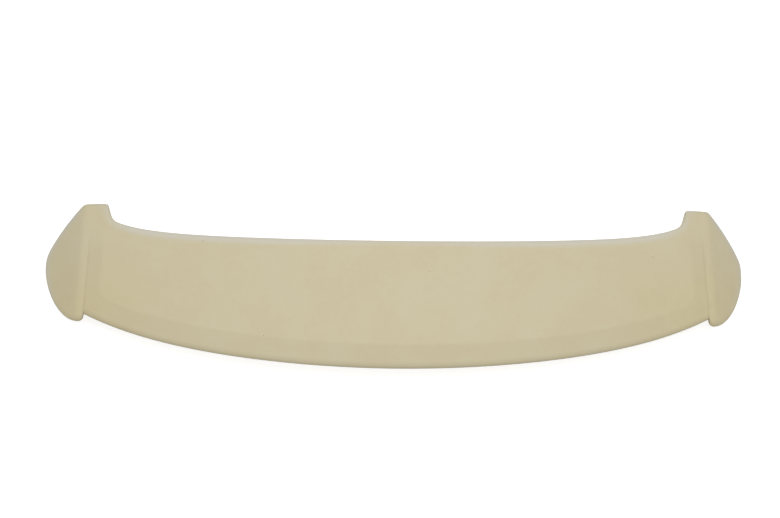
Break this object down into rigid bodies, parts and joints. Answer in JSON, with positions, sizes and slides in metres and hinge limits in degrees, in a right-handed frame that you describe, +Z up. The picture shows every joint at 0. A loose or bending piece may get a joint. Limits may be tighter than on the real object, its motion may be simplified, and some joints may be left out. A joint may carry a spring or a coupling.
{
  "type": "roof spoiler",
  "caption": "Crowned rear roof spoiler for a small hatchback: a wide plate with a bevelled trailing edge and a drooping end fin at each side, bonded to the tailgate.",
  "frame": {"origin": "middle of the centre bonding pad, on its flat face, where the part meets the tailgate", "axes": "+X across the car to its right-hand side, +Y towards the front of the car, +Z up, as fitted"},
  "size_m": [1.187, 0.2782, 0.1091],
  "materials": {
    "raw_moulding": "satin, as moulded and unpainted"
  },
  "bodies": {
    "root": {"spoiler_moulding": "raw_moulding"}
  },
  "joints": []
}
